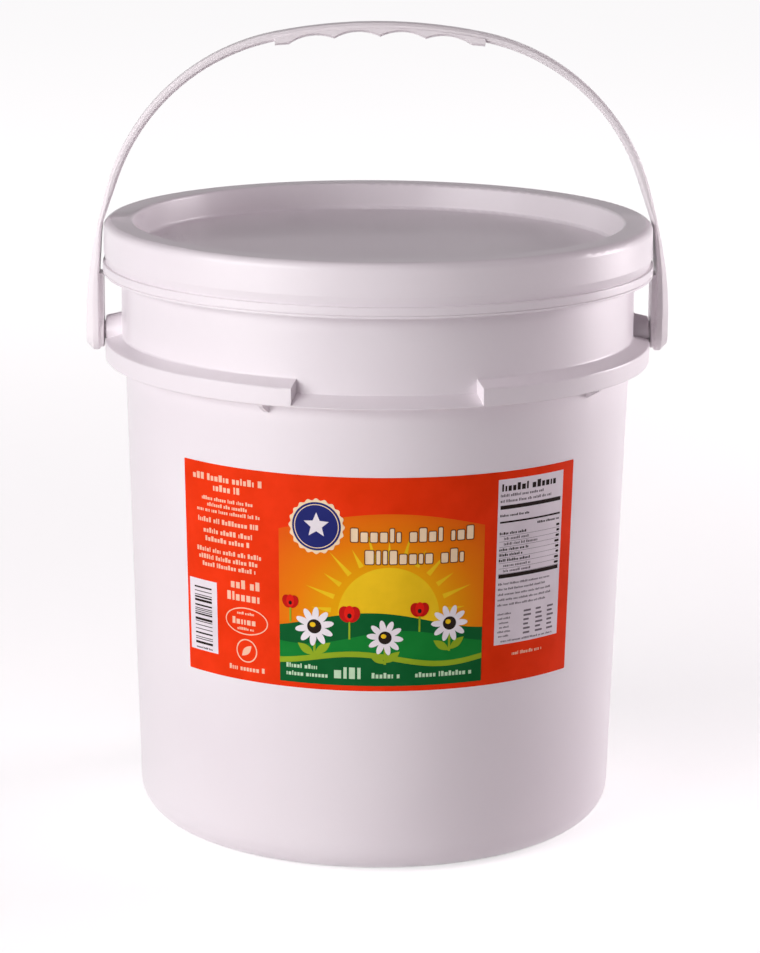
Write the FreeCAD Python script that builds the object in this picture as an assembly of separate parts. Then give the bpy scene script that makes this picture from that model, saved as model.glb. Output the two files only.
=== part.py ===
"""Ten-kilogram catering pail, shut and full, with a snap lid, a wrap label and a moulded bail.

Millimetres, +Z up. The origin is the centre of the base on the surface that the pail stands on.
The label faces -Y and the bail turns about an axis along X through the two ears.
The pail is shut, so it is solid inside its skin up to the underside of the lid.
"""
import FreeCAD, Part
import math
import os

Vector = FreeCAD.Vector
X_AXIS = Vector(1, 0, 0)
Y_AXIS = Vector(0, 1, 0)
Z_AXIS = Vector(0, 0, 1)
ORIGIN = Vector(0, 0, 0)

# ---- driving dimensions -------------------------------------------------------------------
# Pail body
NECK_RADIUS = 112.7          # outside of the straight neck under the lid
NECK_STEP = 1.4              # how far the wall under the flange lies inside the neck
WALL_DRAFT = 6.0             # how far the wall draws in from the flange to the base
BODY_HEIGHT = 205.7          # base to the underside of the flange
NECK_HEIGHT = 38.1           # underside of the flange to the lower edge of the lid
BASE_CORNER = 13.5           # rounding between the wall and the base
FOOT_RING = 9.0              # flat ring that the pail stands on
BASE_RECESS = 1.5            # how far the middle of the base is raised
RIM_WALL = 2.4               # wall at the rim, inside the lid's channel

# Flange round the neck, and the ears on it
FLANGE_REACH = 7.3           # flange beyond the neck
FLANGE_FACE = 8.0            # height of the flange's upright face
FLANGE_SLOPE = 2.6           # rise of the flange's top towards the neck
NOTCH_HALF_ANGLE = 19.25     # half the arc, in degrees, where the flange is only a sloping skirt
NOTCH_TURN = 0.35            # from the front and from the back to the middle of such an arc
NOTCH_RISE = 4.7             # height of the sloping skirt at the neck
NOTCH_LIP = 0.7              # height of the sloping skirt at its outer edge
GUSSET_ANGLES = (-26.0, 51.5)  # webs under the flange, degrees from the front and from the back
GUSSET_THICKNESS = 2.0
GUSSET_DROP = 4.6            # depth of a web at the wall
GUSSET_INSET = 2.5           # how far a web stops short of the flange's edge
PIVOT_RISE = 11.3            # underside of the flange to the bail's pivot
EAR_RADIUS = 8.8             # ear round the pivot, at the neck
EAR_DRAFT = 2.6              # how much smaller the ear is at its outer face
EAR_EDGE = 1.2               # rounding of the ear's outer edge
PIVOT_PIN = 4.0              # radius of the bail's pins
PIVOT_CLEARANCE = 0.2        # radial play of a pin in its socket
SOCKET_WALL = 1.0            # ear left between the neck's surface and the end of the socket

# Lid
LID_HEIGHT = 22.9            # lower edge of the skirt to the top
LID_REACH = 8.0              # skirt beyond the neck
LID_CORNER = 3.4             # rounding of the top outer edge
LID_RING = 13.3              # width of the top ring, with the rounding
LID_RECESS = 11.9            # depth of the stacking recess
RECESS_DRAFT = 1.4           # how far the recess draws in towards its floor
PANEL_STEP = 0.6             # raised middle panel of the recess floor
PANEL_MARGIN = 9.0           # recess wall to the panel
LID_PLATE = 2.2              # thickness of the floor and of the top ring
SKIRT_WALL = 2.4             # thickness of the skirt's lower edge
SKIRT_HEM = 5.7              # height of the free lower edge
LID_CLEARANCE = 0.3          # play between the rim and the lid's channel
BAND = 0.5                   # how far the tear band along the edge stands out
BAND_HEIGHT = 4.8            # lower edge to the top of the tear band
GROOVE = 0.8                 # depth of the groove above the band
GROOVE_HEIGHT = 0.5
WAIST_HEIGHT = 3.4           # stretch above the groove over which the skirt draws in to it
HEM_HEIGHT = 1.0             # bead along the lower edge
HEM_LINE = 0.4               # width and depth of the fine line above the bead

# Label
LABEL_DROP = 29.7            # underside of the flange to the upper edge
LABEL_HEIGHT = 93.5
LABEL_WIDTH = 184.0          # along the wall
LABEL_TURN = -0.95           # degrees from the front to the label's middle, positive towards +X
LABEL_THICKNESS = 0.35

# Bail
GRIP_CURVE = 230.0           # outer radius of the arch over the grip
SHOULDER_END = 75.5          # degrees from the vertical where a shoulder runs into its leg
SHOULDER_INSET = 1.34        # that point's outer face, inside the edge of the lid
SWING_GAP = 0.3              # finger points to the lid's top edge as the bail swings past it
STRAP_THICKNESS = 3.7
STRAP_WIDTH = 10.0
STRAP_CHAMFER = 1.1
LEG_WIDTH = 18.0
LEG_THICKNESS = 5.8          # plate at the pivot
LEG_CHAMFER = 3.0            # outer edges of the plate
LEG_INNER_CHAMFER = 0.6
LEG_STRAIGHT = 7.0           # pivot to where the plate starts to lean
EDGE_ROUND = 0.35            # softening of every edge of the bail
LID_GAP = 0.25               # bail to the lid's skirt
EAR_GAP = 2.2                # plate to the flange
RIB_CLEARANCE = 0.4          # rib and boss on the inner face of each leg, to the flange
RIB_WIDTH = 12.0
RIB_STOP = 1.2               # upper end of the rib to the lid's lower edge
RIB_EDGE = 0.8               # rounding of the rib's upper end and of the boss
HUB_INSET = 1.2              # boss round the pin, inside the round end of the leg
PIN_END_PLAY = 0.5           # pin to the end of its socket
PIN_CHAMFER = 0.5
FINGER_PITCH = 19.8          # between two points of the grip
FINGER_POINTS = 5
FINGER_DEPTH = 2.3           # height of a point below the strap
GRIP_MARGIN = 6.4            # outermost point to the end of the grip
GRIP_SHOULDER = 1.6          # depth of the grip's square ends below the strap
GRIP_WIDTH = 12.0
GRIP_EDGE = 1.0              # rounding along the finger hollows

# ---- sizes that follow --------------------------------------------------------------------
WALL_TOP_RADIUS = NECK_RADIUS - NECK_STEP
WALL_FOOT_RADIUS = WALL_TOP_RADIUS - WALL_DRAFT
FLANGE_RADIUS = NECK_RADIUS + FLANGE_REACH
FLANGE_TOP = BODY_HEIGHT + FLANGE_FACE
LID_RADIUS = NECK_RADIUS + LID_REACH
LID_BOTTOM = BODY_HEIGHT + NECK_HEIGHT
LID_TOP = LID_BOTTOM + LID_HEIGHT
FLOOR_Z = LID_TOP - LID_RECESS
FLOOR_UNDERSIDE = FLOOR_Z - LID_PLATE
CHANNEL_TOP = LID_TOP - LID_PLATE
RIM_INNER = NECK_RADIUS - RIM_WALL
PIVOT_Z = BODY_HEIGHT + PIVOT_RISE
EAR_FACE = math.sqrt(FLANGE_RADIUS ** 2 - EAR_RADIUS ** 2)
BESIDE_LID = LID_RADIUS + LID_GAP
LEG_INNER = max(FLANGE_RADIUS + EAR_GAP, BESIDE_LID)
LEG_OUTER = LEG_INNER + LEG_THICKNESS
LID_FACE_RADIUS = LID_RADIUS - BAND
CORNER_Z = LID_TOP - LID_CORNER
LID_SWEEP = math.hypot(LID_FACE_RADIUS - LID_CORNER, CORNER_Z - PIVOT_Z) + LID_CORNER
ARCH_TOP = PIVOT_Z + LID_SWEEP + SWING_GAP + FINGER_DEPTH + STRAP_THICKNESS


# ---- outlines -----------------------------------------------------------------------------
def rounded_wire(corners, place):
    """Close a wire through corners (u, v, rounding); place turns (u, v) into a point."""
    edges = []
    joints = []
    count = len(corners)
    for index in range(count):
        u, v, rounding = corners[index]
        here = Vector(u, v, 0)
        before = Vector(corners[index - 1][0], corners[index - 1][1], 0) - here
        after = Vector(corners[(index + 1) % count][0], corners[(index + 1) % count][1], 0) - here
        if rounding <= 0:
            joints.append((here, None, here))
            continue
        before.normalize()
        after.normalize()
        half = before.getAngle(after) / 2
        reach = rounding / math.tan(half)
        bisector = (before + after).normalize()
        middle = here + bisector * (rounding / math.sin(half) - rounding)
        joints.append((here + before * reach, middle, here + after * reach))
    for index in range(count):
        start, middle, end = joints[index]
        if middle is not None:
            edges.append(Part.Arc(place(start), place(middle), place(end)).toShape())
        following = joints[(index + 1) % count][0]
        if end.distanceToPoint(following) > 1e-6:
            edges.append(Part.LineSegment(place(end), place(following)).toShape())
    return Part.Wire(edges)


def in_xz(point):
    return Vector(point.x, 0, point.y)


def turned(corners, degrees=360.0, start=0.0):
    """Turn an outline of (radius, height, rounding) about the pail's axis."""
    face = Part.Face(rounded_wire(corners, in_xz))
    face.rotate(ORIGIN, Z_AXIS, start)
    return face.revolve(ORIGIN, Z_AXIS, degrees)


def mirrored_pair(shape):
    """The shape and its mirror image on the other side of the YZ plane."""
    return [shape, shape.mirror(ORIGIN, X_AXIS)]


# ---- pail ---------------------------------------------------------------------------------
def pail_body():
    foot_outer = WALL_FOOT_RADIUS - BASE_CORNER
    return turned([
        (0, BASE_RECESS, 0),
        (foot_outer - FOOT_RING - BASE_RECESS, BASE_RECESS, 1.0),
        (foot_outer - FOOT_RING, 0, 0.8),
        (WALL_FOOT_RADIUS, 0, BASE_CORNER),
        (WALL_TOP_RADIUS, BODY_HEIGHT, 0.8),
        (FLANGE_RADIUS, BODY_HEIGHT, 0.6),
        (FLANGE_RADIUS, FLANGE_TOP, 0.8),
        (NECK_RADIUS, FLANGE_TOP + FLANGE_SLOPE, 1.0),
        (NECK_RADIUS, CHANNEL_TOP, 0.5),
        (RIM_INNER, CHANNEL_TOP, 0.5),
        (RIM_INNER, FLOOR_UNDERSIDE, 0),
        (0, FLOOR_UNDERSIDE, 0),
    ])


def flange_notches():
    """What is cut from the flange at the front and back, down to its sloping skirt."""
    outside = FLANGE_RADIUS + 2
    above = FLANGE_TOP + FLANGE_SLOPE + 2
    corners = [
        (NECK_RADIUS, BODY_HEIGHT + NOTCH_RISE, 0),
        (FLANGE_RADIUS, BODY_HEIGHT + NOTCH_LIP, 0),
        (outside, BODY_HEIGHT + NOTCH_LIP, 0),
        (outside, above, 0),
        (NECK_RADIUS, above, 0),
    ]
    start = NOTCH_TURN - NOTCH_HALF_ANGLE
    return [turned(corners, 2 * NOTCH_HALF_ANGLE, facing + start) for facing in (90, 270)]


def gussets():
    """Thin webs that hold the flange up from below."""
    sunk = 1.0
    tip = FLANGE_RADIUS - GUSSET_INSET
    wall = WALL_TOP_RADIUS - sunk
    outline = [
        (wall, BODY_HEIGHT + sunk, 0),
        (tip, BODY_HEIGHT + sunk, 0),
        (tip, BODY_HEIGHT - 1.2, 0.6),
        (WALL_TOP_RADIUS + 0.6, BODY_HEIGHT - GUSSET_DROP, 0),
        (wall, BODY_HEIGHT - GUSSET_DROP, 0),
    ]
    web = Part.Face(rounded_wire(outline, in_xz))
    web.translate(Y_AXIS * (-GUSSET_THICKNESS / 2))
    web = web.extrude(Y_AXIS * GUSSET_THICKNESS)
    webs = []
    for facing in (90, 270):
        for offset in GUSSET_ANGLES:
            copy = web.copy()
            copy.rotate(ORIGIN, Z_AXIS, facing + offset)
            webs.append(copy)
    return webs


def ear():
    """Boss on the flange round the pivot, with its socket still to be cut."""
    outer_radius = EAR_RADIUS - EAR_DRAFT
    inside = NECK_RADIUS - 4
    corners = [
        (inside, 0, 0),
        (EAR_FACE, 0, 0),
        (EAR_FACE, outer_radius, EAR_EDGE),
        (inside, EAR_RADIUS, 0),
    ]
    face = Part.Face(rounded_wire(corners, in_xz))
    boss = face.revolve(ORIGIN, X_AXIS, 360)
    boss.translate(Z_AXIS * PIVOT_Z)
    return boss


def socket():
    """The blind hole that a pin of the bail turns in."""
    start = Vector(NECK_RADIUS + SOCKET_WALL, 0, PIVOT_Z)
    return Part.makeCylinder(PIVOT_PIN + PIVOT_CLEARANCE, FLANGE_REACH + 5, start, X_AXIS)


def make_pail():
    pail = pail_body()
    for notch in flange_notches():
        pail = pail.cut(notch)
    pail = pail.fuse(gussets() + mirrored_pair(ear()))
    for hole in mirrored_pair(socket()):
        pail = pail.cut(hole)
    return pail.removeSplitter()


# ---- lid ----------------------------------------------------------------------------------
def make_lid():
    ring_inner = LID_RADIUS - LID_RING
    floor_radius = ring_inner - RECESS_DRAFT
    panel = floor_radius - PANEL_MARGIN
    hem_top = LID_BOTTOM + HEM_HEIGHT
    band_top = LID_BOTTOM + BAND_HEIGHT
    groove_top = band_top + GROOVE_HEIGHT
    return turned([
        (0, FLOOR_UNDERSIDE, 0),
        (RIM_INNER - LID_CLEARANCE, FLOOR_UNDERSIDE, 0),
        (RIM_INNER - LID_CLEARANCE, CHANNEL_TOP, 0.3),
        (NECK_RADIUS + LID_CLEARANCE, CHANNEL_TOP, 0.3),
        (NECK_RADIUS + LID_CLEARANCE, LID_BOTTOM + SKIRT_HEM, 0.8),
        (LID_RADIUS - SKIRT_WALL, LID_BOTTOM + SKIRT_HEM, 0.8),
        (LID_RADIUS - SKIRT_WALL, LID_BOTTOM, 0.6),
        (LID_RADIUS, LID_BOTTOM, 0.4),
        (LID_RADIUS, hem_top, 0.25),
        (LID_RADIUS - HEM_LINE, hem_top + HEM_LINE / 2, 0),
        (LID_RADIUS, hem_top + HEM_LINE, 0.25),
        (LID_RADIUS, band_top, 0.4),
        (LID_FACE_RADIUS - GROOVE, band_top, 0),
        (LID_FACE_RADIUS - GROOVE, groove_top, 0),
        (LID_FACE_RADIUS, groove_top + WAIST_HEIGHT, 2.0),
        (LID_FACE_RADIUS, LID_TOP, LID_CORNER),
        (ring_inner, LID_TOP, 1.4),
        (floor_radius, FLOOR_Z, 1.6),
        (panel + PANEL_STEP, FLOOR_Z, 0.5),
        (panel, FLOOR_Z + PANEL_STEP, 0.5),
        (0, FLOOR_Z + PANEL_STEP, 0),
    ])


# ---- label --------------------------------------------------------------------------------
def wall_radius(height):
    """Outside of the tapering wall at a height above the base."""
    return WALL_FOOT_RADIUS + WALL_DRAFT * height / BODY_HEIGHT


def make_label():
    high = BODY_HEIGHT - LABEL_DROP
    low = high - LABEL_HEIGHT
    arc = math.degrees(LABEL_WIDTH / wall_radius((low + high) / 2))
    return turned([
        (wall_radius(low), low, 0),
        (wall_radius(low) + LABEL_THICKNESS, low, 0),
        (wall_radius(high) + LABEL_THICKNESS, high, 0),
        (wall_radius(high), high, 0),
    ], arc, 270 + LABEL_TURN - arc / 2)


# ---- bail ---------------------------------------------------------------------------------
def on_circle(centre, radius, degrees):
    """Point of the XZ plane at an angle from the vertical, as (x, z)."""
    angle = math.radians(degrees)
    return centre[0] + radius * math.sin(angle), centre[1] + radius * math.cos(angle)


GRIP_HALF = FINGER_PITCH * (FINGER_POINTS - 1) / 2 + GRIP_MARGIN
GRIP_ANGLE = math.degrees(math.asin(GRIP_HALF / GRIP_CURVE))
LEAN = math.radians(90 - SHOULDER_END)
GRIP_DROP = GRIP_CURVE * (1 - math.cos(math.radians(GRIP_ANGLE)))
SHOULDER_SPAN = LID_RADIUS - SHOULDER_INSET - GRIP_HALF
SHOULDER_CURVE = SHOULDER_SPAN / (math.cos(LEAN) - math.sin(math.radians(GRIP_ANGLE)))
SHOULDER_DROP = SHOULDER_CURVE * (math.cos(math.radians(GRIP_ANGLE)) - math.sin(LEAN))
SHOULDER_FOOT = (LID_RADIUS - SHOULDER_INSET, ARCH_TOP - GRIP_DROP - SHOULDER_DROP)
SHOULDER_CENTRE = on_circle(SHOULDER_FOOT, -SHOULDER_CURVE, SHOULDER_END)
GRIP_CENTRE = on_circle(SHOULDER_CENTRE, SHOULDER_CURVE - GRIP_CURVE, GRIP_ANGLE)


def strap_section(inner, outer, width, chamfer, inner_chamfer):
    """Eight-cornered section across the bail between two points (x, z) of its faces."""
    start = Vector(inner[0], 0, inner[1])
    across = Vector(outer[0], 0, outer[1]) - start
    depth = across.Length
    across.normalize()
    side = width / 2
    corners = [
        (inner_chamfer, -side), (depth - chamfer, -side),
        (depth, chamfer - side), (depth, side - chamfer),
        (depth - chamfer, side), (inner_chamfer, side),
        (0, side - inner_chamfer), (0, inner_chamfer - side),
    ]
    rounded = [(u, v, EDGE_ROUND) for u, v in corners]
    return rounded_wire(rounded, lambda p: start + across * p.x + Y_AXIS * p.y)


def arch_section(centre, radius, degrees):
    inner = on_circle(centre, radius - STRAP_THICKNESS, degrees)
    outer = on_circle(centre, radius, degrees)
    return strap_section(inner, outer, STRAP_WIDTH, STRAP_CHAMFER, STRAP_CHAMFER)


def arch_piece(centre, radius, start, end):
    """Strap swept along a circle from one angle to another."""
    section = Part.Face(arch_section(centre, radius, start))
    return section.revolve(Vector(centre[0], 0, centre[1]), Y_AXIS, end - start)


def inner_tangent():
    """Angle on the shoulder where the straight inner face of the leg leaves it."""
    radius = SHOULDER_CURVE - STRAP_THICKNESS
    target_x = BESIDE_LID - SHOULDER_CENTRE[0]
    target_z = CORNER_Z - SHOULDER_CENTRE[1]
    distance = math.hypot(target_x, target_z)
    return math.degrees(math.atan2(target_x, target_z) - math.acos(radius / distance))


def outer_face(height):
    """X of the leg's outer face: upright at the pivot, then leaning in towards the shoulder."""
    bend_low = PIVOT_Z + LEG_STRAIGHT
    if height <= bend_low:
        return LEG_OUTER
    if height >= SHOULDER_FOOT[1]:
        rise = (height - SHOULDER_CENTRE[1]) / SHOULDER_CURVE
        return SHOULDER_CENTRE[0] + SHOULDER_CURVE * math.sqrt(1 - rise ** 2)
    span = SHOULDER_FOOT[1] - bend_low
    share = (height - bend_low) / span
    drop = LEG_OUTER - SHOULDER_FOOT[0]
    slope = math.tan(LEAN) * span
    return LEG_OUTER - drop * share ** 2 * (3 - 2 * share) - slope * share ** 2 * (share - 1)


def inner_face(height, top):
    """X of the leg's inner face, which passes the lid's skirt and joins the shoulder at top."""
    if height >= CORNER_Z:
        share = (height - CORNER_Z) / (top[1] - CORNER_Z)
        return BESIDE_LID + (top[0] - BESIDE_LID) * share
    if height <= LID_BOTTOM:
        return LEG_INNER
    share = (height - LID_BOTTOM) / (CORNER_Z - LID_BOTTOM)
    return LEG_INNER + (BESIDE_LID - LEG_INNER) * share


def leg():
    """Plate beside the ear, narrowing as it rises past the lid into the strap."""
    stations = 12
    meeting = inner_tangent()
    inner_top = on_circle(SHOULDER_CENTRE, SHOULDER_CURVE - STRAP_THICKNESS, meeting)
    outer_top = on_circle(SHOULDER_CENTRE, SHOULDER_CURVE, meeting)
    bottom = PIVOT_Z + LEG_STRAIGHT
    wires = []
    for index in range(stations + 1):
        share = index / stations
        inner_z = bottom + (inner_top[1] - bottom) * share
        outer_z = bottom + (outer_top[1] - bottom) * share
        inner = (inner_face(inner_z, inner_top), inner_z)
        outer = (outer_face(outer_z), outer_z)
        taper = min(1.0, max(0.0, (share - 0.25) / 0.75))
        ease = taper ** 2 * (3 - 2 * taper)
        depth = math.dist(inner, outer)
        chamfer = min(LEG_CHAMFER + (STRAP_CHAMFER - LEG_CHAMFER) * ease, depth / 2)
        wires.append(strap_section(
            inner, outer, LEG_WIDTH + (STRAP_WIDTH - LEG_WIDTH) * ease, chamfer,
            LEG_INNER_CHAMFER + (STRAP_CHAMFER - LEG_INNER_CHAMFER) * ease))
    return meeting, Part.makeLoft(wires, True, True)


def leg_end():
    """Upright plate at the pivot with its round end."""
    side = LEG_WIDTH / 2
    section = strap_section(
        (LEG_INNER, PIVOT_Z), (LEG_OUTER, PIVOT_Z), LEG_WIDTH, LEG_CHAMFER, LEG_INNER_CHAMFER)
    plate = Part.Face(section).extrude(Z_AXIS * LEG_STRAIGHT)
    half = [
        (LEG_INNER, 0, 0),
        (LEG_OUTER, 0, 0),
        (LEG_OUTER, side - LEG_CHAMFER, EDGE_ROUND),
        (LEG_OUTER - LEG_CHAMFER, side, EDGE_ROUND),
        (LEG_INNER + LEG_INNER_CHAMFER, side, EDGE_ROUND),
        (LEG_INNER, side - LEG_INNER_CHAMFER, EDGE_ROUND),
    ]
    disc = Part.Face(rounded_wire(half, in_xz)).revolve(ORIGIN, X_AXIS, 360)
    disc.translate(Z_AXIS * PIVOT_Z)
    return [plate, disc]


def leg_rib():
    """Low rib on the inner face, from the pivot up to the lid, with a round boss at the pivot."""
    base = LEG_INNER + 1
    tip = FLANGE_RADIUS + RIB_CLEARANCE
    high = LID_BOTTOM - RIB_STOP
    corners = [(base, PIVOT_Z, 0), (tip, PIVOT_Z, 0), (tip, high, RIB_EDGE), (base, high, 0)]
    face = Part.Face(rounded_wire(corners, in_xz))
    face.translate(Y_AXIS * (-RIB_WIDTH / 2))
    rib = face.extrude(Y_AXIS * RIB_WIDTH)
    radius = LEG_WIDTH / 2 - HUB_INSET
    round_end = [(tip, 0, 0), (tip, radius, RIB_EDGE), (base, radius, 0), (base, 0, 0)]
    hub = Part.Face(rounded_wire(round_end, in_xz)).revolve(ORIGIN, X_AXIS, 360)
    hub.translate(Z_AXIS * PIVOT_Z)
    return [rib, hub]


def pin():
    """Pin on the inner face of the plate, which turns in the ear's socket."""
    tip = NECK_RADIUS + SOCKET_WALL + PIN_END_PLAY
    corners = [
        (tip, 0, 0),
        (tip, PIVOT_PIN - PIN_CHAMFER, 0),
        (tip + PIN_CHAMFER, PIVOT_PIN, 0),
        (LEG_INNER + 1, PIVOT_PIN, 0),
        (LEG_INNER + 1, 0, 0),
    ]
    bar = Part.Face(rounded_wire(corners, in_xz)).revolve(ORIGIN, X_AXIS, 360)
    bar.translate(Z_AXIS * PIVOT_Z)
    return bar


def grip_outline(y, lift):
    """Outline of the finger hollows at a place across the grip, with its underside raised by lift."""
    inner = GRIP_CURVE - STRAP_THICKNESS
    sunk = GRIP_EDGE + 0.5
    end = GRIP_HALF - STRAP_CHAMFER / 2
    points = [(index - (FINGER_POINTS - 1) / 2) * FINGER_PITCH for index in range(FINGER_POINTS)]

    def under(x, depth):
        return Vector(x, y, GRIP_CENTRE[1] + math.sqrt(inner ** 2 - x ** 2) - depth)

    tips = [under(x, FINGER_DEPTH - lift) for x in points]
    hollows = [under((left + right) / 2, -lift) for left, right in zip(points, points[1:])]
    left_top, right_top = under(-end, -sunk), under(end, -sunk)
    left_shoulder, right_shoulder = under(-end, GRIP_SHOULDER - lift), under(end, GRIP_SHOULDER - lift)
    edges = [
        Part.Arc(left_top, under(0, -sunk), right_top).toShape(),
        Part.LineSegment(right_top, right_shoulder).toShape(),
        Part.LineSegment(right_shoulder, tips[-1]).toShape(),
    ]
    for index in reversed(range(len(hollows))):
        edges.append(Part.Arc(tips[index + 1], hollows[index], tips[index]).toShape())
    edges.append(Part.LineSegment(tips[0], left_shoulder).toShape())
    edges.append(Part.LineSegment(left_shoulder, left_top).toShape())
    return Part.Wire(edges)


def grip():
    """Finger hollows under the arch: points at an even pitch, bevelled along both sides."""
    side = GRIP_WIDTH / 2
    flat = side - GRIP_EDGE
    middle = Part.Face(grip_outline(-flat, 0)).extrude(Y_AXIS * 2 * flat)
    bevels = [Part.makeLoft([grip_outline(sign * flat, 0), grip_outline(sign * side, GRIP_EDGE)], True, True)
              for sign in (-1, 1)]
    return middle.fuse(bevels)


def make_bail():
    meeting, blade = leg()
    pieces = [arch_piece(GRIP_CENTRE, GRIP_CURVE, -GRIP_ANGLE, GRIP_ANGLE), grip()]
    shoulder = arch_piece(SHOULDER_CENTRE, SHOULDER_CURVE, GRIP_ANGLE, meeting)
    for part in [shoulder, blade, pin()] + leg_rib() + leg_end():
        pieces += mirrored_pair(part)
    return pieces[0].fuse(pieces[1:]).removeSplitter()


# ---- write the pieces ---------------------------------------------------------------------
PARTS = {
    "pail": make_pail(),
    "lid": make_lid(),
    "label": make_label(),
    "bail": make_bail(),
}

os.makedirs("parts", exist_ok=True)
for name, shape in PARTS.items():
    box = shape.BoundBox
    print(name, len(shape.Solids), "solid", shape.isValid(), "volume", round(shape.Volume),
          "box", [round(value, 2) for value in (box.XMin, box.YMin, box.ZMin, box.XMax, box.YMax, box.ZMax)])
    shape.exportStep("parts/%s.step" % name)
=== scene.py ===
"""Looks of a shut ten-kilogram catering pail: white moulded plastic, snap lid, wrap label and bail.

Metres, +Z up, label towards -Y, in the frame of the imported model. The pail, the lid and the bail
are the CAD nodes with their own finish. The label is modelled here as a die-cut film with its
print as fields of colour that follow the tapered wall.
"""
import math
import random

import bmesh
import bpy
from mathutils import Matrix, Vector


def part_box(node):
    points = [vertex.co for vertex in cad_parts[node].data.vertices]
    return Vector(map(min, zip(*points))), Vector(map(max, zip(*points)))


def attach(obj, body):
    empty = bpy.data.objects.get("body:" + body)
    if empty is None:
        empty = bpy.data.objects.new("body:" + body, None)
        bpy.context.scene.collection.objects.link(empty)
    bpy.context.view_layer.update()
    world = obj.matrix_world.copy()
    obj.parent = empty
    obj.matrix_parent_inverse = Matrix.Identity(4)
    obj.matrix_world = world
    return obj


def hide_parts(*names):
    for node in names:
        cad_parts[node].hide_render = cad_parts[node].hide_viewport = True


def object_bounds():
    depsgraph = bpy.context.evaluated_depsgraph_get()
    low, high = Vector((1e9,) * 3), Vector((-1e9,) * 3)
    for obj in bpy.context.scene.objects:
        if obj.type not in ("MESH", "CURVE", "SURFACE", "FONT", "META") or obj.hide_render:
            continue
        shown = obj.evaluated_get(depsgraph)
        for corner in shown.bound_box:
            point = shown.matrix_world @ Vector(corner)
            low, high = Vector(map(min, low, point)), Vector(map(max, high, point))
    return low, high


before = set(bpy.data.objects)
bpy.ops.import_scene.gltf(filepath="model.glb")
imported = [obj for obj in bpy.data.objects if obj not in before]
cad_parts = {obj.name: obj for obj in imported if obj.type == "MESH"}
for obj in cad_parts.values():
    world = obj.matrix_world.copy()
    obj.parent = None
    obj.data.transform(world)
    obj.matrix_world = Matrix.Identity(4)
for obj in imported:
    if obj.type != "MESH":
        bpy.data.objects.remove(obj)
cad_low, cad_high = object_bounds()

MM = 0.001

# ---- camera -------------------------------------------------------------------------------
CAMERA_DISTANCE = 1.4444     # from the pail's axis
CAMERA_HEIGHT = 0.4892
CAMERA_SIDE = 1.8            # degrees that the camera stands to the left of the label's front
CAMERA_PAN = 0.063           # degrees to the right of the pail's axis
CAMERA_PITCH = 13.207        # degrees down
CAMERA_ROLL = 0.464          # degrees
CAMERA_LENS = 125.5          # millimetres
SENSOR = 36                  # millimetres, the long side of the picture

# ---- light --------------------------------------------------------------------------------
AMBIENT_LOW = (0.12, 0.085, 0.10, 1)       # world light on the object, from the horizon
AMBIENT_HIGH = (0.075, 0.062, 0.07, 1)     # and from overhead
BACKGROUND_LOW = (0.93, 0.925, 0.93, 1)    # what the camera and the gloss see at the horizon
BACKGROUND_HIGH = (0.22, 0.21, 0.22, 1)    # and overhead
FLOOR_COLOUR = (0.84, 0.82, 0.83, 1)
HORIZON_BLEND = (0.02, 0.30)               # sine of the height over which low turns to high
FLOOR_REACH = 12.0                         # half the side of the floor
FLOOR_GLOW = (0.58, 0.88)                  # added to what the camera sees, near the pail and far
FLOOR_GLOW_SPAN = (0.3, 1.8)               # distances from the origin that near and far mean
LAMPS = [                                  # name, azimuth, elevation, distance, size, watts, colour
    ("key", -52, 12, 2.2, (1.8, 1.4), 40, (0.99, 0.985, 0.985)),
    ("edge", 109, 4, 1.9, (0.9, 1.2), 35, (1.0, 0.93, 0.965)),
    ("top", -20, 60, 2.2, (1.2, 1.2), 6, (1.0, 0.85, 0.93)),
]

# ---- finish -------------------------------------------------------------------------------
# Scales of the noises are in features per metre.
PLASTIC_IOR = 1.5
PLASTIC_CLOUD = 14           # scale of the tint's slow change
PLASTIC_RUB = 25             # scale of the gloss's slow change
PLASTIC_PEEL = 420           # scale of the orange peel
PEEL_DEPTH = 0.0002
PLASTIC_FLOW = 60            # scale of the flow streaks
FLOW_STRETCH = (1, 1, 0.08)  # upright, as the plastic flowed
FLOW_DEPTH = 0.0008
GLOSS_SPREAD = 0.03          # roughness over and under its middle
INK_IOR = 1.48
INK_SHEEN = 0.06             # specular level of the printed film
INK_GLOSS = 0.36             # roughness of the printed film
INK_CLOUD = 60               # scale of the ink's slow change in tone
INK_RUB = 90                 # scale of its change in gloss
INK_GRAIN = 900              # scale of the film's grain
GRAIN_DEPTH = 0.0001

# ---- label --------------------------------------------------------------------------------
STRIP = 2.0                  # millimetres between the cuts that let a field follow the wall
FILM_DEPTH = 0.10            # the film's face under the CAD label's face, in millimetres
FILM_BACK = 0.33             # and its back
FILM_CORNER = 0.8            # rounding of the die-cut corners
INK = 0.02                   # step between two layers of print, in millimetres
MARGIN = 0.45                # white film that shows round the print
FIELD_CORNER = 0.5           # rounding of the printed field

# Layers of the print from the film up; shapes that never overlap share one
FIELD, SKY, SHAPES, MARKS, NEAR, LAWN, SHADE, STEMS, PETALS, HEARTS, SPOTS = range(11)


# ---- small helpers ------------------------------------------------------------------------
def srgb(red, green, blue):
    """Linear colour of an 8-bit screen colour, with alpha."""
    def linear(value):
        value /= 255
        return value / 12.92 if value <= 0.04045 else ((value + 0.055) / 1.055) ** 2.4
    return (linear(red), linear(green), linear(blue), 1.0)


def new_material(name):
    material = bpy.data.materials.new(name)
    material.use_nodes = True
    nodes = material.node_tree.nodes
    nodes.clear()
    output = nodes.new("ShaderNodeOutputMaterial")
    return material, nodes, material.node_tree.links, output


def add_node(nodes, kind, **settings):
    """New node; settings name its attributes, or its input sockets where it has no such attribute."""
    node = nodes.new(kind)
    for key, value in settings.items():
        if hasattr(node, key):
            setattr(node, key, value)
        else:
            node.inputs[key.replace("_", " ")].default_value = value
    return node


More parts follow.
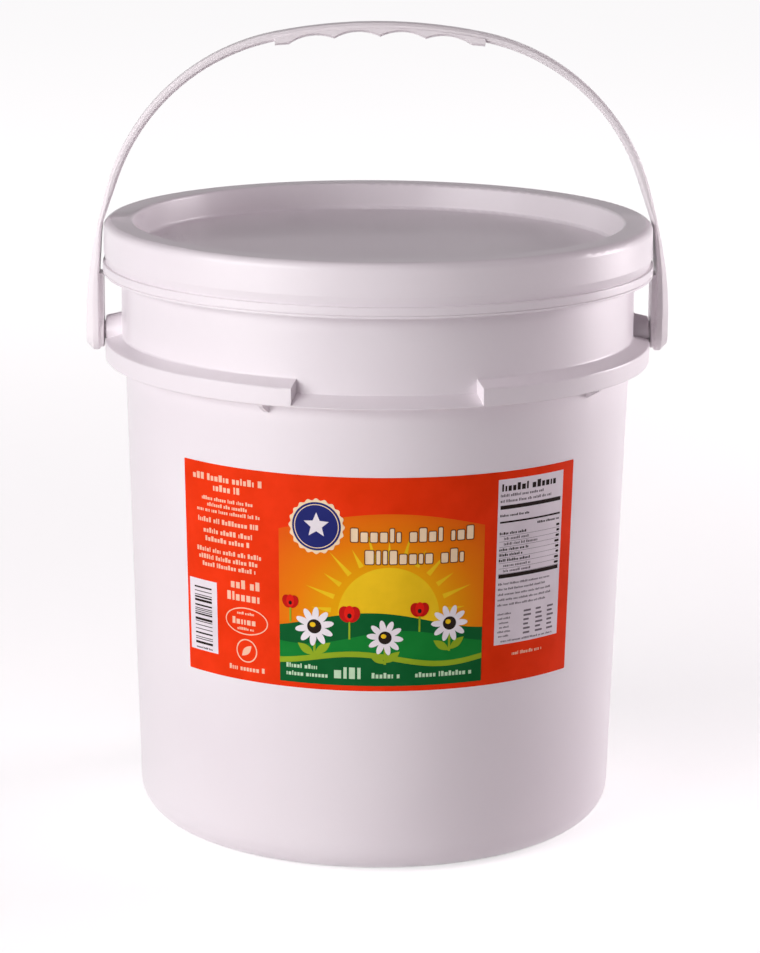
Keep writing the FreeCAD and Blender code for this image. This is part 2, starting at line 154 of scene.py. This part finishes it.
def noise(nodes, links, vector, scale, detail, stretch=(1, 1, 1)):
    """Noise over the object's own coordinates, in features per metre; returns its value socket."""
    mapping = add_node(nodes, "ShaderNodeMapping", Scale=stretch)
    links.new(vector, mapping.inputs["Vector"])
    texture = add_node(nodes, "ShaderNodeTexNoise", Scale=scale, Detail=detail, Roughness=0.55)
    links.new(mapping.outputs["Vector"], texture.inputs["Vector"])
    return texture.outputs["Fac"]


def spread(nodes, links, value, low, high, start=0.3, end=0.7):
    """Map the middle of a noise to the range from low to high."""
    ramp = add_node(nodes, "ShaderNodeMapRange", From_Min=start, From_Max=end, To_Min=low, To_Max=high)
    links.new(value, ramp.inputs["Value"])
    return ramp.outputs["Result"]


def blend_colour(nodes, links, factor, first, second):
    mix = nodes.new("ShaderNodeMix")
    mix.data_type = "RGBA"
    mix.inputs["A"].default_value = first
    mix.inputs["B"].default_value = second
    links.new(factor, mix.inputs["Factor"])
    return mix.outputs["Result"]


# ---- materials ----------------------------------------------------------------------------
def plastic(name, light, deep, gloss, peel, streaks):
    """Moulded white plastic: cloudy tint, orange peel, upright flow streaks and uneven gloss."""
    material, nodes, links, output = new_material(name)
    shader = add_node(nodes, "ShaderNodeBsdfPrincipled", IOR=PLASTIC_IOR)
    place = nodes.new("ShaderNodeTexCoord").outputs["Object"]
    cloud = spread(nodes, links, noise(nodes, links, place, PLASTIC_CLOUD, 1), 0.0, 1.0)
    links.new(blend_colour(nodes, links, cloud, light, deep), shader.inputs["Base Color"])
    rubbed = noise(nodes, links, place, PLASTIC_RUB, 1)
    uneven = spread(nodes, links, rubbed, gloss - GLOSS_SPREAD, gloss + GLOSS_SPREAD, 0.1, 0.9)
    links.new(uneven, shader.inputs["Roughness"])
    fine = noise(nodes, links, place, PLASTIC_PEEL, 1)
    flow = noise(nodes, links, place, PLASTIC_FLOW, 1, FLOW_STRETCH)
    first = add_node(nodes, "ShaderNodeBump", Strength=peel, Distance=PEEL_DEPTH)
    links.new(fine, first.inputs["Height"])
    second = add_node(nodes, "ShaderNodeBump", Strength=streaks, Distance=FLOW_DEPTH)
    links.new(flow, second.inputs["Height"])
    links.new(first.outputs["Normal"], second.inputs["Normal"])
    links.new(second.outputs["Normal"], shader.inputs["Normal"])
    links.new(shader.outputs["BSDF"], output.inputs["Surface"])
    return material


def ink(name, colour):
    """Printed colour on film, with a faint cloud in its tone, an uneven gloss and a fine grain."""
    material, nodes, links, output = new_material(name)
    shader = add_node(nodes, "ShaderNodeBsdfPrincipled", IOR=INK_IOR, Specular_IOR_Level=INK_SHEEN)
    place = nodes.new("ShaderNodeTexCoord").outputs["Object"]
    paler = tuple(min(1.0, value * 1.07 + 0.004) for value in colour[:3]) + (1.0,)
    deeper = tuple(value * 0.93 for value in colour[:3]) + (1.0,)
    cloud = spread(nodes, links, noise(nodes, links, place, INK_CLOUD, 4), 0.0, 1.0)
    links.new(blend_colour(nodes, links, cloud, deeper, paler), shader.inputs["Base Color"])
    rubbed = noise(nodes, links, place, INK_RUB, 3)
    uneven = spread(nodes, links, rubbed, INK_GLOSS - 0.04, INK_GLOSS + 0.06)
    links.new(uneven, shader.inputs["Roughness"])
    grain = add_node(nodes, "ShaderNodeBump", Strength=0.08, Distance=GRAIN_DEPTH)
    links.new(noise(nodes, links, place, INK_GRAIN, 1), grain.inputs["Height"])
    links.new(grain.outputs["Normal"], shader.inputs["Normal"])
    links.new(shader.outputs["BSDF"], output.inputs["Surface"])
    return material


def glow(name, stops, centre, reach):
    """Ink that runs through several colours outwards from a point of the label, in millimetres."""
    material = ink(name, stops[0][1])
    nodes, links = material.node_tree.nodes, material.node_tree.links
    shader = next(node for node in nodes if node.type == "BSDF_PRINCIPLED")
    place = nodes.new("ShaderNodeTexCoord").outputs["UV"]
    mapping = nodes.new("ShaderNodeMapping")
    mapping.inputs["Scale"].default_value = (1 / reach[0], 1 / reach[1], 1)
    mapping.inputs["Location"].default_value = (-centre[0] / reach[0], -centre[1] / reach[1], 0)
    links.new(place, mapping.inputs["Vector"])
    ball = add_node(nodes, "ShaderNodeTexGradient", gradient_type="SPHERICAL")
    links.new(mapping.outputs["Vector"], ball.inputs["Vector"])
    ramp = nodes.new("ShaderNodeValToRGB")
    while len(ramp.color_ramp.elements) < len(stops):
        ramp.color_ramp.elements.new(1.0)
    for element, (position, colour) in zip(ramp.color_ramp.elements, stops):
        element.position = position
        element.color = colour
    links.new(ball.outputs["Fac"], ramp.inputs["Fac"])
    links.new(ramp.outputs["Color"], shader.inputs["Base Color"])
    return material


# ---- flat shapes of the print, in millimetres along (s) and up (t) the label ---------------
def spoke(centre, radius, turn):
    """Point at a radius from a centre, turn degrees from the horizontal."""
    angle = math.radians(turn)
    return (centre[0] + radius * math.cos(angle), centre[1] + radius * math.sin(angle))


def arc(centre, radii, start, end, steps):
    points = []
    for index in range(steps + 1):
        angle = math.radians(start + (end - start) * index / steps)
        points.append((centre[0] + radii[0] * math.cos(angle), centre[1] + radii[1] * math.sin(angle)))
    return points


def block(left, low, right, high, corner=0.0):
    """Rectangle, with rounded corners where a radius is given."""
    if corner <= 0:
        return [(left, low), (right, low), (right, high), (left, high)]
    near, far = left + corner, right - corner
    foot, head = low + corner, high - corner
    points = []
    for index, centre in enumerate([(far, foot), (far, head), (near, head), (near, foot)]):
        start = 90 * index - 90
        points += arc(centre, (corner, corner), start, start + 90, 4)
    return points


def oval(centre, radii, tilt=0.0, steps=40):
    turn = math.radians(tilt)
    points = []
    for s, t in arc((0, 0), radii, 0, 360 - 360 / steps, steps - 1):
        points.append((centre[0] + s * math.cos(turn) - t * math.sin(turn),
                       centre[1] + s * math.sin(turn) + t * math.cos(turn)))
    return points


def leaf(foot, length, width, tilt):
    """Pointed oval that grows from its foot; tilt is in degrees from the horizontal."""
    turn = math.radians(tilt)
    steps = 12
    edge = []
    for index in range(steps + 1):
        part = index / steps
        edge.append((length * part, width / 2 * math.sin(math.pi * part)))
    ring = edge + [(u, -v) for u, v in reversed(edge[1:-1])]
    return [(foot[0] + u * math.cos(turn) - v * math.sin(turn),
             foot[1] + u * math.sin(turn) + v * math.cos(turn)) for u, v in ring]


def hill(left, right, low, crest, steps=60):
    """Field under a curved upper edge, which crest gives for each s."""
    top = [right + (left - right) * index / steps for index in range(steps + 1)]
    return [(left, low), (right, low)] + [(s, crest(s)) for s in top]


def hoop(centre, radii, width, steps=48):
    """Outline of an oval, as the short blocks of a closed strip."""
    inner = (radii[0] - width, radii[1] - width)
    out = arc(centre, radii, 0, 360, steps)
    within = arc(centre, inner, 0, 360, steps)
    return [[out[i], out[i + 1], within[i + 1], within[i]] for i in range(steps)]


def line_of_blocks(middle, t, width, height, chance):
    """Blocks (left, low, right, high) in groups, as uneven as the letters and words of a line."""
    widths, heights = (0.28, 0.5, 0.5, 0.6), (1.0, 0.72, 0.72)
    gap, wider_gap = height * 0.2, height * 0.45
    blocks = []
    s, end = middle - width / 2, middle + width / 2
    left_in_group = chance.randint(3, 8)
    while True:
        wide = height * chance.choice(widths)
        if s + wide > end:
            return blocks
        blocks.append((s, t, s + wide, t + height * chance.choice(heights)))
        s += wide + gap
        left_in_group -= 1
        if left_in_group == 0:
            s += wider_gap
            left_in_group = chance.randint(3, 8)


# ---- print --------------------------------------------------------------------------------
class Print:
    """Fields of colour, each an outline with its layer and its ink."""

    def __init__(self):
        self.fields = []
        self.inks = []

    def add(self, outline, layer, name):
        if name not in self.inks:
            self.inks.append(name)
        self.fields.append((outline, layer, name))

    def words(self, middle, t, width, height, name, layer, chance):
        """A line of plain blocks, where a pack has small print."""
        for left, low, right, high in line_of_blocks(middle, t, width, height, chance):
            self.add(block(left, low, right, high), layer, name)


def picture(art):
    """Middle panel: a sun with rays over green waves, three daisies and three poppies."""
    sides = (-43.0, 45.0, 2.8)
    art.add(hill(*sides, lambda s: 69.0 + 8.5 * math.cos(math.pi * (s - 4) / 96)), SKY, "glow")
    sun(art, (4.0, 33.0), 21.5)
    waves(art, sides)
    for place, size, turn in (((-27.5, 28.0), 8.4, 12), ((2.5, 24.0), 7.6, 30), ((30.0, 29.5), 7.9, 0)):
        daisy(art, place, size, turn)
    for place, size in (((-12.5, 34.0), 4.2), ((17.0, 36.0), 3.7), ((-38.0, 38.0), 3.4)):
        poppy(art, place, size)


def sun(art, centre, radius):
    """Disc with long and short rays in turn, over its upper half."""
    ray_foot, ray_half = radius + 3, 2.6
    for index in range(13):
        angle = 6 + 14 * index
        tip = radius + (16 if index % 2 else 11.5)
        corners = ((ray_foot, angle - ray_half), (tip, angle), (ray_foot, angle + ray_half))
        art.add([spoke(centre, distance, turn) for distance, turn in corners], SHAPES, "sun")
    art.add(oval(centre, (radius, radius), steps=72), SHAPES, "sun")


def waves(art, sides):
    """Green fields, one before the other, with a pale path along the nearest."""
    path = 2.4

    def lawn(s):
        return 15.5 + 2.3 * math.sin(s / 12 + 2.4)

    art.add(hill(*sides, lambda s: 30.5 + 4.2 * math.sin((s + 30) / 17)), MARKS, "dark_green")
    art.add(hill(*sides, lambda s: 23.5 + 3.4 * math.sin((s - 4) / 14 + 1.2)), NEAR, "green")
    art.add(hill(*sides, lawn), LAWN, "meadow")
    art.add(hill(*sides, lambda s: lawn(s) - path), SHADE, "dark_green")


def daisy(art, place, size, turn):
    """Ten white petals round a dark eye, on a stem with two leaves."""
    s, t = place
    art.add(block(s - 0.5, t - size * 1.55, s + 0.5, t), STEMS, "meadow")
    for drop, tilt in ((1.45, 38), (1.5, 146)):
        art.add(leaf((s, t - size * drop), size * 1.05, size * 0.42, tilt), STEMS, "meadow")
    for index in range(10):
        angle = turn + 36 * index
        petal = oval(spoke(place, size * 0.62, angle), (size * 0.40, size * 0.17), angle, 20)
        art.add(petal, PETALS, "white")
    art.add(oval(place, (size * 0.37, size * 0.37), steps=32), HEARTS, "black")
    glint = (s - size * 0.08, t + size * 0.09)
    art.add(oval(glint, (size * 0.15, size * 0.13), steps=20), SPOTS, "sun")


def poppy(art, place, size):
    """Three red petals and a dark eye, on a bare stem."""
    s, t = place
    art.add(block(s - 0.4, t - size * 2.6, s + 0.4, t), STEMS, "meadow")
    for side in (-1, 1):
        petal = oval((s + side * size * 0.38, t), (size * 0.66, size * 0.86), -24 * side, 24)
        art.add(petal, PETALS, "red")
    art.add(oval((s, t + size * 0.1), (size * 0.52, size * 0.80), 0, 24), HEARTS, "poppy")
    art.add(oval((s, t - size * 0.15), (size * 0.22, size * 0.26), 0, 20), SPOTS, "black")


def seal(art):
    """Round seal in dark blue with a scalloped pale rim, a thin ring and a plain star."""
    centre, size = (-26.5, 71.5), 11.6
    scallops = 20
    edge = []
    for index in range(scallops * 6):
        turn = 360 * index / (scallops * 6)
        edge.append(spoke(centre, size + 0.45 * math.cos(math.radians(turn) * scallops), turn))
    art.add(edge, STEMS, "cream")
    art.add(oval(centre, (size - 1.2, size - 1.2), steps=64), PETALS, "navy")
    for outline in hoop(centre, (size - 2.1, size - 2.1), 0.35):
        art.add(outline, HEARTS, "cream")
    star = []
    heart = (centre[0], centre[1] + 0.4)
    for index in range(10):
        star.append(spoke(heart, 5.6 if index % 2 == 0 else 2.5, 90 + 36 * index))
    art.add(star, HEARTS, "white")


def banner(art, chance):
    """Two lines of cream blocks with a dark edge, where a pack has its title."""
    edge = 0.4
    for middle, t, width, height in ((14.0, 65.5, 52.0, 5.8), (16.0, 56.0, 44.0, 5.8)):
        for left, low, right, high in line_of_blocks(middle, t, width, height, chance):
            art.add(block(left - edge, low - edge, right + edge, high + edge, 0.8), STEMS, "brown")
            art.add(block(left, low, right, high, 0.5), PETALS, "cream")


def weights(art, chance):
    """Pale lines of blocks along the foot of the middle panel."""
    lines = [(-32.5, 9.2, 15, 2.0), (-30.5, 5.8, 19, 2.0), (-12.5, 5.8, 13, 5.0), (3.5, 6.2, 13, 2.4),
             (28.5, 6.4, 26, 2.2)]
    for middle, t, width, height in lines:
        art.words(middle, t, width, height, "mint", STEMS, chance)


def left_column(art, chance):
    """Centred lines of blocks, two outlined marks and a plain pattern of bars."""
    paragraphs = [
        (85.6, 37, 2.9), (81.4, 14, 2.9),
        (77.0, 27, 1.6), (74.4, 21, 1.6), (71.8, 33, 1.6),
        (67.2, 32, 2.2), (62.6, 26, 2.2), (59.0, 24, 2.2),
        (54.2, 34, 2.0), (51.0, 32, 2.0), (47.8, 28, 2.0),
    ]
    for t, width, height in paragraphs:
        art.words(-68.0, t, width, height, "blush", SHAPES, chance)
    middle = -59.0
    for t, width, height in ((40.6, 15, 3.8), (35.2, 19, 3.8)):
        art.words(middle, t, width, height, "blush", SHAPES, chance)
    for outline in hoop((middle, 26.6), (10.6, 6.0), 0.5):
        art.add(outline, SHAPES, "blush")
    for t, width, height in ((25.0, 14, 3.0), (22.6, 9, 1.2), (29.4, 9, 1.2)):
        art.words(middle, t, width, height, "blush", SHAPES, chance)
    for outline in hoop((middle, 13.6), (5.2, 5.2), 0.55):
        art.add(outline, SHAPES, "blush")
    art.add(leaf((middle - 2.4, 11.2), 6.8, 3.0, 45), SHAPES, "blush")
    art.words(middle, 4.6, 18, 2.2, "blush", SHAPES, chance)
    bars(art, chance)


def bars(art, chance):
    """White field with dark bars of uneven thickness across it."""
    art.add(block(-90.3, 9.6, -74.2, 41.2), SHAPES, "paper")
    t, top = 12.4, 37.6
    while t < top:
        thick = chance.choice((0.35, 0.35, 0.7, 1.05))
        art.add(block(-87.4, t, -77.2, t + thick), MARKS, "black")
        t += thick + chance.choice((0.4, 0.5, 0.9, 1.3))
    art.words(-82.0, 10.4, 10, 0.8, "black", MARKS, chance)


def table(art, chance):
    """White table with dark rules, rows of blocks and three narrow columns at its foot."""
    left, right, low, high = 50.8, 85.4, 17.4, 89.6
    edge = 1.2
    inner_left, inner_right = left + edge, right - edge
    middle = (left + right) / 2
    art.add(block(left, low, right, high), SHAPES, "paper")
    art.words(middle, 84.4, inner_right - inner_left - 1, 3.2, "black", MARKS, chance)
    for t, width in ((82.0, 22), (79.6, 27)):
        art.words(inner_left + width / 2, t, width, 1.2, "ash", MARKS, chance)
    for t, thick in ((76.6, 1.7), (70.6, 0.8), (46.6, 1.7)):
        art.add(block(inner_left, t, inner_right, t + thick), MARKS, "black")
    art.words(inner_left + 7.5, 73.4, 15, 1.0, "black", MARKS, chance)
    art.words(inner_right - 6.5, 68.4, 13, 1.0, "black", MARKS, chance)
    table_rows(art, chance, inner_left, inner_right)
    for index in range(5):
        t = 43.6 - 2.3 * index
        width = chance.uniform(24, 31)
        art.words(inner_left + width / 2, t, width, 0.95, "ash", MARKS, chance)
    for row in range(6):
        t = 30.4 - 1.95 * row
        height = 0.85
        art.words(inner_left + 3.6, t, chance.uniform(4.5, 7), height, "ash", MARKS, chance)
        for column in range(3):
            start = inner_left + 13.5 + 6.6 * column
            art.add(block(start, t, start + chance.uniform(2.6, 4.2), t + height, 0.25), MARKS, "ash")
    art.words(middle, 18.4, 28, 0.9, "ash", MARKS, chance)
    art.words(68.5, 12.0, 17, 1.5, "blush", SHAPES, chance)


def table_rows(art, chance, left, right):
    """Rows with a fine rule under each; the bold ones start at the edge, the others are set in."""
    bold_rows = (0, 3, 4, 5)
    for index in range(8):
        t = 65.6 - 2.35 * index
        bold = index in bold_rows
        indent = 0.0 if bold else 2.2
        width = chance.uniform(9, 18)
        art.words(left + indent + width / 2, t, width, 1.15, "black" if bold else "ash", MARKS, chance)
        art.add(block(right - chance.uniform(1.6, 2.8), t, right, t + 1.05, 0.3), MARKS, "black")
        art.add(block(left, t - 0.75, right, t - 0.6), MARKS, "ash")


# ---- label in space -----------------------------------------------------------------------
class Wall:
    """The CAD label's outer face: a cone between two heights and two angles from the front."""

    def __init__(self, node):
        low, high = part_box(node)
        points = [vertex.co.copy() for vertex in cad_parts[node].data.vertices]
        self.low, self.high = low.z, high.z
        self.foot = max(math.hypot(p.x, p.y) for p in points if p.z < low.z + MM / 10)
        self.top = max(math.hypot(p.x, p.y) for p in points if p.z > high.z - MM / 10)
        angles = [math.atan2(p.x, -p.y) for p in points]
        self.middle = (min(angles) + max(angles)) / 2
        self.radius = (self.foot + self.top) / 2
        self.half = (max(angles) - self.middle) * self.radius / MM
        self.height = (self.high - self.low) / MM
        self.slope = (self.top - self.foot) / (self.high - self.low)

    def angle(self, s):
        return self.middle + s * MM / self.radius

    def point(self, s, t, lift):
        angle = self.angle(s)
        radius = self.foot + self.slope * t * MM + lift * MM
        return Vector((radius * math.sin(angle), -radius * math.cos(angle), self.low + t * MM))

    def normal(self, s):
        angle = self.angle(s)
        return Vector((math.sin(angle), -math.cos(angle), -self.slope)).normalized()


def cut_into_strips(shape, half):
    count = int(half / STRIP) + 1
    for index in range(-count, count + 1):
        everything = shape.verts[:] + shape.edges[:] + shape.faces[:]
        bmesh.ops.bisect_plane(shape, geom=everything, plane_co=(index * STRIP, 0, 0), plane_no=(1, 0, 0))


def wrapped(name, shape, wall):
    """Wrap a flat mesh (s, t, lift) round the wall, with the wall's own normals and a flat UV map."""
    map_layer = shape.loops.layers.uv.new("label")
    for face in shape.faces:
        face.smooth = True
        for loop in face.loops:
            loop[map_layer].uv = (loop.vert.co.x, loop.vert.co.y)
    shape.verts.ensure_lookup_table()
    normals = [wall.normal(vertex.co.x) for vertex in shape.verts]
    for vertex in shape.verts:
        vertex.co = wall.point(*vertex.co)
    mesh = bpy.data.meshes.new(name)
    shape.to_mesh(mesh)
    shape.free()
    return mesh, normals


def add_object(name, mesh):
    piece = bpy.data.objects.new(name, mesh)
    bpy.context.scene.collection.objects.link(piece)
    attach(piece, "pail_body")
    return piece


def make_film(wall, material):
    """Die-cut film: a closed thin sheet with small round corners, between the wall and the print."""
    shape = bmesh.new()
    outline = block(-wall.half, 0, wall.half, wall.height, FILM_CORNER)
    face = shape.faces.new([shape.verts.new((s, t, -FILM_DEPTH)) for s, t in outline])
    bmesh.ops.triangulate(shape, faces=[face])
    cut_into_strips(shape, wall.half)
    grown = bmesh.ops.extrude_face_region(shape, geom=shape.faces[:])
    for item in grown["geom"]:
        if isinstance(item, bmesh.types.BMVert):
            item.co.z = -FILM_BACK
    bmesh.ops.recalc_face_normals(shape, faces=shape.faces[:])
    mesh, _ = wrapped("label_film", shape, wall)
    mesh.materials.append(material)
    film = add_object("label_film", mesh)
    mesh.set_sharp_from_angle(angle=math.radians(40))
    return film


def make_print(wall, inks):
    """All the printed fields in one mesh, each layer a hair above the one under it."""
    chance = random.Random(41)
    art = Print()
    side, top = wall.half - MARGIN, wall.height - MARGIN
    art.add(block(-side, MARGIN, side, top, FIELD_CORNER), FIELD, "field")
    picture(art)
    seal(art)
    banner(art, chance)
    weights(art, chance)
    left_column(art, chance)
    table(art, chance)

    shape = bmesh.new()
    for outline, layer, name in art.fields:
        lift = INK * (layer + 1) - FILM_DEPTH
        face = shape.faces.new([shape.verts.new((s, t, lift)) for s, t in outline])
        face.material_index = art.inks.index(name)
        face.normal_update()
        if face.normal.z < 0:
            face.normal_flip()
    bmesh.ops.triangulate(shape, faces=shape.faces[:])
    cut_into_strips(shape, wall.half)
    mesh, normals = wrapped("label_print", shape, wall)
    for name in art.inks:
        mesh.materials.append(inks[name])
    mesh.normals_split_custom_set_from_vertices(normals)
    return add_object("label_print", mesh)


# ---- camera, light and floor --------------------------------------------------------------
def make_camera():
    side = math.radians(CAMERA_SIDE)
    heading = side + math.radians(CAMERA_PAN)
    pitch, roll = math.radians(CAMERA_PITCH), math.radians(CAMERA_ROLL)
    place = Vector((-CAMERA_DISTANCE * math.sin(side), -CAMERA_DISTANCE * math.cos(side), CAMERA_HEIGHT))
    level = math.cos(pitch)
    forward = Vector((math.sin(heading) * level, math.cos(heading) * level, -math.sin(pitch)))
    right = forward.cross(Vector((0, 0, 1))).normalized()
    up = right.cross(forward)
    across = right * math.cos(roll) + up * math.sin(roll)
    upright = up * math.cos(roll) - right * math.sin(roll)
    data = bpy.data.cameras.new("camera")
    data.lens = CAMERA_LENS
    data.sensor_width = SENSOR
    camera = bpy.data.objects.new("camera", data)
    turn = Matrix((across, upright, -forward)).transposed()
    camera.matrix_world = Matrix.Translation(place) @ turn.to_4x4()
    bpy.context.scene.collection.objects.link(camera)
    bpy.context.scene.camera = camera


def around(target, azimuth, elevation, distance):
    """Place round a target; azimuth is counted from the label's front towards +X, in degrees."""
    turn, rise = math.radians(azimuth), math.radians(elevation)
    offset = Vector((math.sin(turn) * math.cos(rise), -math.cos(turn) * math.cos(rise), math.sin(rise)))
    return target + offset * distance


def make_lamp(name, place, target, size, power, colour):
    """Soft panel that faces its target and isn't seen itself."""
    data = bpy.data.lights.new(name, "AREA")
    data.shape = "RECTANGLE"
    data.size, data.size_y = size
    data.energy = power
    data.color = colour
    lamp = bpy.data.objects.new(name, data)
    lamp.location = place
    lamp.rotation_euler = (place - target).to_track_quat("Z", "Y").to_euler()
    lamp.visible_camera = False
    bpy.context.scene.collection.objects.link(lamp)


def make_world():
    world = bpy.data.worlds.new("studio")
    bpy.context.scene.world = world
    world.use_nodes = True
    nodes, links = world.node_tree.nodes, world.node_tree.links
    nodes.clear()
    output = nodes.new("ShaderNodeOutputWorld")
    light = add_node(nodes, "ShaderNodeBackground", Strength=1.0)
    seen = add_node(nodes, "ShaderNodeBackground", Strength=1.0)
    height = nodes.new("ShaderNodeSeparateXYZ")
    links.new(nodes.new("ShaderNodeTexCoord").outputs["Generated"], height.inputs["Vector"])
    rise = add_node(nodes, "ShaderNodeMapRange", interpolation_type="SMOOTHSTEP")
    rise.inputs["From Min"].default_value, rise.inputs["From Max"].default_value = HORIZON_BLEND
    links.new(height.outputs["Z"], rise.inputs["Value"])
    for shader, low, high in ((light, AMBIENT_LOW, AMBIENT_HIGH), (seen, BACKGROUND_LOW, BACKGROUND_HIGH)):
        colour = blend_colour(nodes, links, rise.outputs["Result"], low, high)
        links.new(colour, shader.inputs["Color"])
    mix = nodes.new("ShaderNodeMixShader")
    links.new(straight_rays(nodes, links), mix.inputs["Fac"])
    links.new(light.outputs["Background"], mix.inputs[1])
    links.new(seen.outputs["Background"], mix.inputs[2])
    links.new(mix.outputs["Shader"], output.inputs["Surface"])


def straight_rays(nodes, links):
    """1 for camera, glossy and transmission rays, which are to see the background itself."""
    path = nodes.new("ShaderNodeLightPath")
    total = path.outputs["Is Camera Ray"]
    for name in ("Is Glossy Ray", "Is Transmission Ray"):
        larger = add_node(nodes, "ShaderNodeMath", operation="MAXIMUM")
        links.new(total, larger.inputs[0])
        links.new(path.outputs[name], larger.inputs[1])
        total = larger.outputs["Value"]
    return total


def make_floor():
    shape = bmesh.new()
    bmesh.ops.create_grid(shape, x_segments=24, y_segments=24, size=FLOOR_REACH)
    mesh = bpy.data.meshes.new("floor")
    shape.to_mesh(mesh)
    shape.free()
    floor = bpy.data.objects.new("floor", mesh)
    bpy.context.scene.collection.objects.link(floor)
    material, nodes, links, output = new_material("floor")
    matt = add_node(nodes, "ShaderNodeBsdfDiffuse", Color=FLOOR_COLOUR)
    shine = add_node(nodes, "ShaderNodeEmission", Color=(1, 1, 1, 1))
    away = add_node(nodes, "ShaderNodeVectorMath", operation="LENGTH")
    links.new(nodes.new("ShaderNodeNewGeometry").outputs["Position"], away.inputs[0])
    glow = add_node(nodes, "ShaderNodeMapRange", interpolation_type="SMOOTHSTEP")
    glow.inputs["From Min"].default_value, glow.inputs["From Max"].default_value = FLOOR_GLOW_SPAN
    glow.inputs["To Min"].default_value, glow.inputs["To Max"].default_value = FLOOR_GLOW
    links.new(away.outputs["Value"], glow.inputs["Value"])
    strength = add_node(nodes, "ShaderNodeMath", operation="MULTIPLY")
    links.new(straight_rays(nodes, links), strength.inputs[0])
    links.new(glow.outputs["Result"], strength.inputs[1])
    links.new(strength.outputs["Value"], shine.inputs["Strength"])
    total = nodes.new("ShaderNodeAddShader")
    links.new(matt.outputs["BSDF"], total.inputs[0])
    links.new(shine.outputs["Emission"], total.inputs[1])
    links.new(total.outputs["Shader"], output.inputs["Surface"])
    mesh.materials.append(material)


def make_stage():
    make_camera()
    make_world()
    make_floor()
    middle = Vector((0, 0, cad_high.z * 0.5))
    for name, azimuth, elevation, distance, size, power, colour in LAMPS:
        make_lamp(name, around(middle, azimuth, elevation, distance), middle, size, power, colour)
    bpy.context.scene.view_settings.view_transform = "Standard"


# ---- put it together ----------------------------------------------------------------------
make_stage()

WHITE = (srgb(241, 235, 239), srgb(237, 230, 235))
# The bail is the pail's white plastic. Its lighter base colour is painted light that makes up for the
# shade the bail gets under these lamps.
BAIL_WHITE_PAINTED_LIGHT = (srgb(250, 246, 248), srgb(247, 241, 244))
FINISHES = {
    "pail": plastic("pail_white", *WHITE, 0.30, 0.10, 0.10),
    "lid": plastic("lid_white", *WHITE, 0.31, 0.12, 0.04),
    "bail": plastic("bail_white_painted_light", *BAIL_WHITE_PAINTED_LIGHT, 0.36, 0.02, 0.0),
}
for node, finish in FINISHES.items():
    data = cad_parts[node].data
    data.materials.clear()
    data.materials.append(finish)

DUSK = [(0.0, srgb(232, 92, 16)), (0.35, srgb(240, 130, 12)), (0.75, srgb(240, 184, 12))]
INKS = {
    "field": ink("print_orange_red", srgb(240, 54, 5)),
    "glow": glow("print_glow", DUSK, (4, 33), (62, 52)),
    "sun": ink("print_yellow", srgb(244, 200, 30)),
    "dark_green": ink("print_dark_green", srgb(4, 92, 42)),
    "green": ink("print_green", srgb(16, 128, 48)),
    "meadow": ink("print_meadow", srgb(148, 176, 36)),
    "white": ink("print_white", srgb(240, 234, 238)),
    "paper": ink("print_paper", srgb(236, 228, 234)),
    "black": ink("print_black", srgb(38, 26, 22)),
    "ash": ink("print_ash", srgb(122, 112, 118)),
    "brown": ink("print_brown", srgb(110, 58, 22)),
    "red": ink("print_red", srgb(196, 22, 16)),
    "poppy": ink("print_poppy", srgb(232, 32, 20)),
    "navy": ink("print_navy", srgb(36, 42, 112)),
    "cream": ink("print_cream", srgb(250, 222, 184)),
    "blush": ink("print_blush", srgb(255, 196, 166)),
    "mint": ink("print_mint", srgb(196, 226, 190)),
}
LABEL_WALL = Wall("label")
film = make_film(LABEL_WALL, ink("film_white", srgb(240, 236, 238)))
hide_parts("label")
make_print(LABEL_WALL, INKS)
